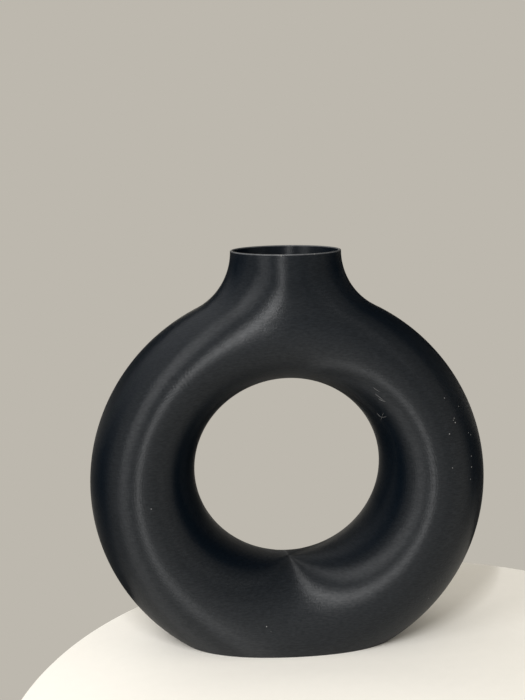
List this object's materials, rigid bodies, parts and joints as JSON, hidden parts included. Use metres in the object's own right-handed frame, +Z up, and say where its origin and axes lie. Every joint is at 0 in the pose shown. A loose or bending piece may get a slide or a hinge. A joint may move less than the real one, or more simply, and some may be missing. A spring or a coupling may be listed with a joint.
{
  "type": "ring vase",
  "caption": "Hollow ring vase: a rounded ring standing upright on a flat oval base, with a round hole through it and a short round neck that flares into the ring.",
  "frame": {"origin": "centre of the flat base, on the table", "axes": "+Z up through the mouth, +X across the ring's width, +Y through the ring's hole to the back; the front is -Y"},
  "size_m": [0.2, 0.067, 0.2],
  "materials": {
    "matte_black_print": "matte black printed plastic with fine level layer lines"
  },
  "bodies": {
    "root": {"floor_plate": "matte_black_print", "lower_bowl": "matte_black_print", "upper_bowl": "matte_black_print", "lower_left_arm": "matte_black_print", "lower_right_arm": "matte_black_print", "upper_left_arm": "matte_black_print", "upper_right_arm": "matte_black_print", "upper_arch": "matte_black_print", "shoulder": "matte_black_print", "neck": "matte_black_print", "rim_band": "matte_black_print"}
  },
  "joints": []
}
